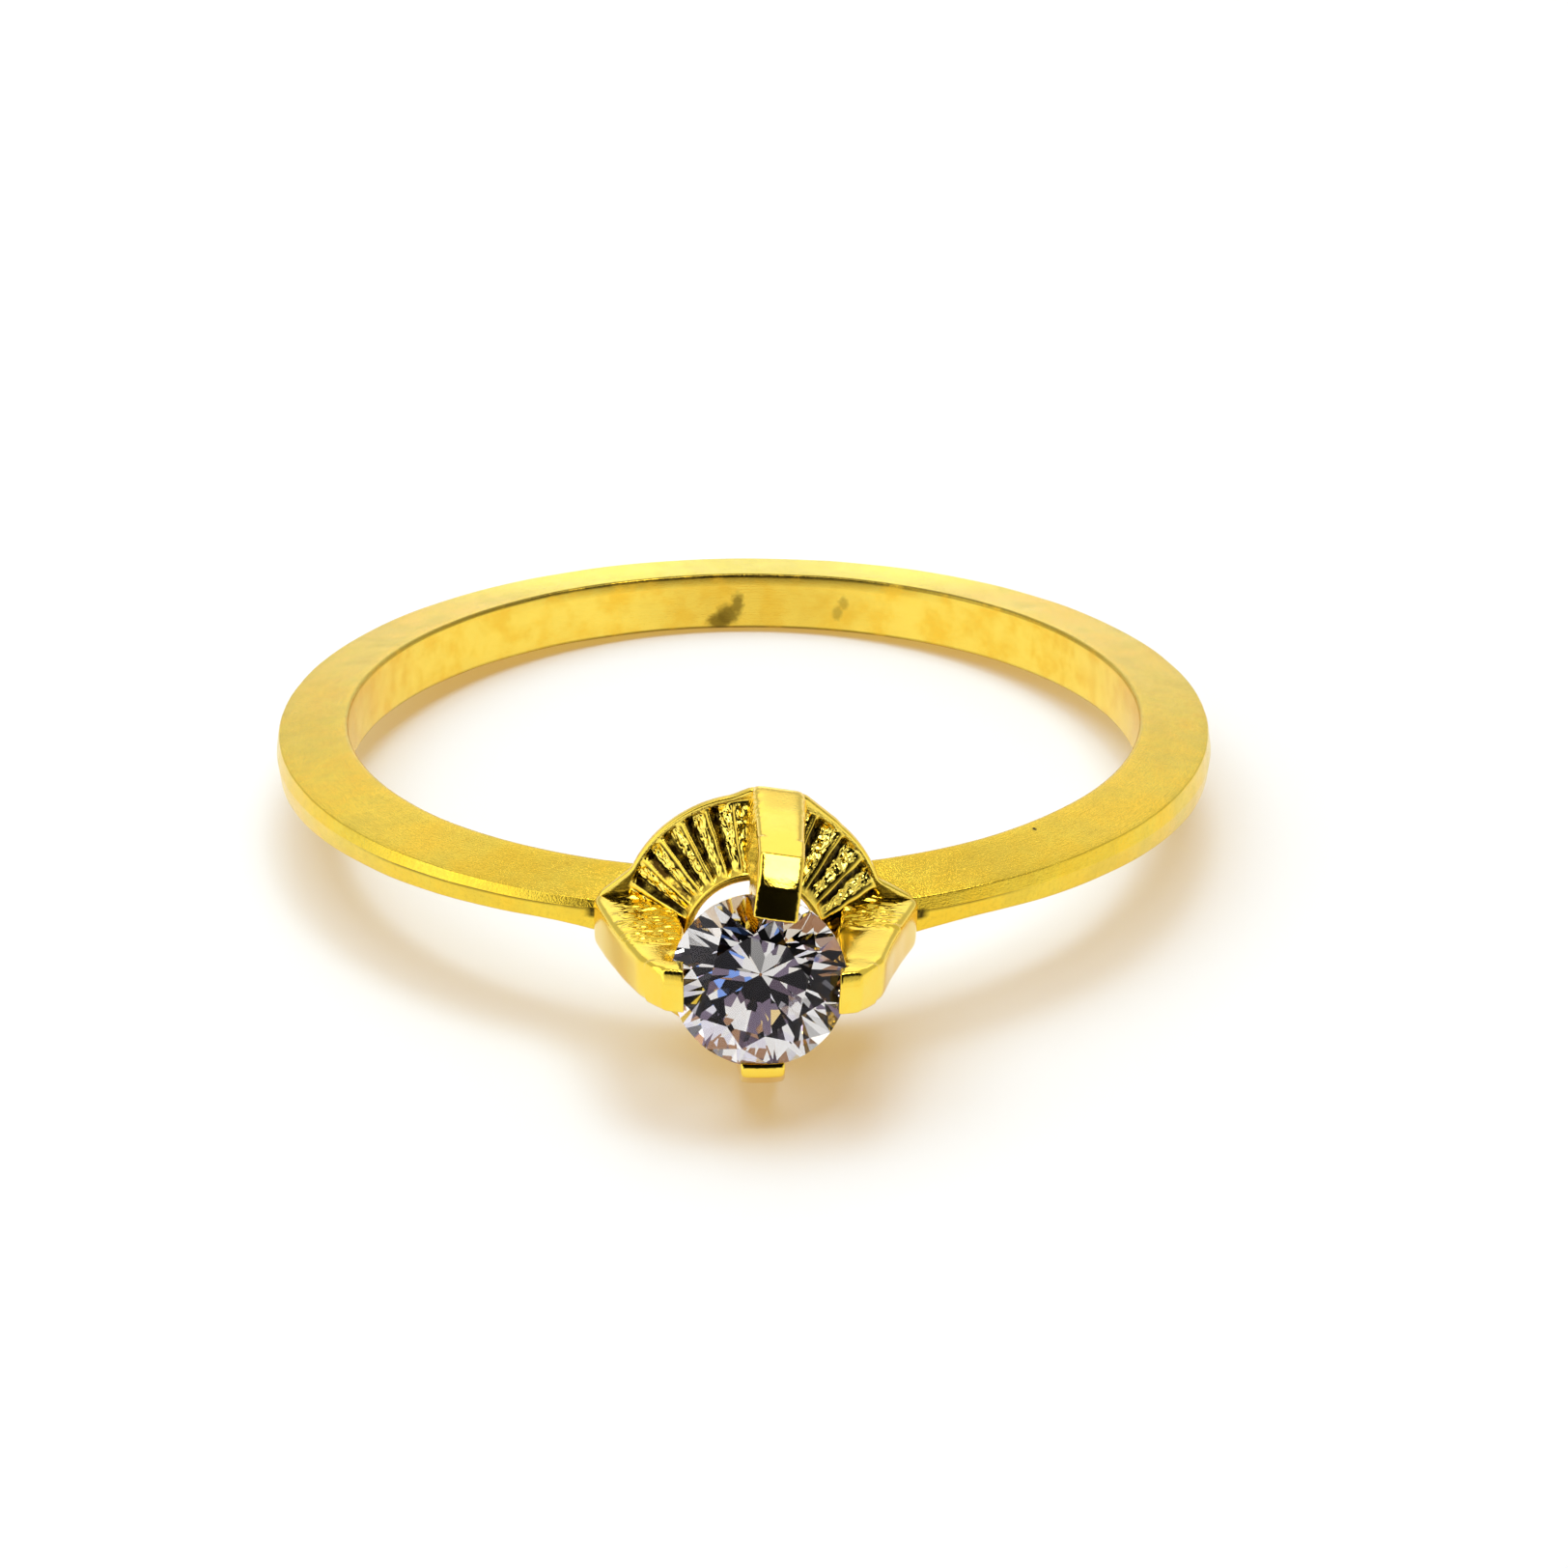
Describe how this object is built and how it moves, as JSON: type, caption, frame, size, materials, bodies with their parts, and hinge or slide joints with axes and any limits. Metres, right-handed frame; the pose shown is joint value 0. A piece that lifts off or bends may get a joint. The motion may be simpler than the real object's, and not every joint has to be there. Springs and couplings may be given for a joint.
{
  "type": "engagement ring",
  "caption": "Solitaire engagement ring with a ridged gold shank and a fluted claw head holding a round brilliant stone.",
  "frame": {"origin": "centre of the finger hole, midway across the shank's width", "axes": "+Z along the finger hole, -Y out through the head and its stone, +Y towards the back of the shank, X across the ring"},
  "size_m": [0.0194, 0.0224, 0.0054],
  "materials": {
    "shank_gold": "gold alloy, brushed side faces and a polished finger side",
    "head_gold": "gold alloy, bright-cut flutes on a polished ground",
    "claw_gold": "gold alloy, polished, with filed tips",
    "stone": "clear faceted gemstone, polished"
  },
  "bodies": {
    "root": {"shank": "shank_gold", "head_collet": "head_gold", "fluted_crown": "head_gold", "claw_top": "claw_gold", "claw_right": "claw_gold", "claw_bottom": "claw_gold", "claw_left": "claw_gold", "stone": "stone"}
  },
  "joints": []
}
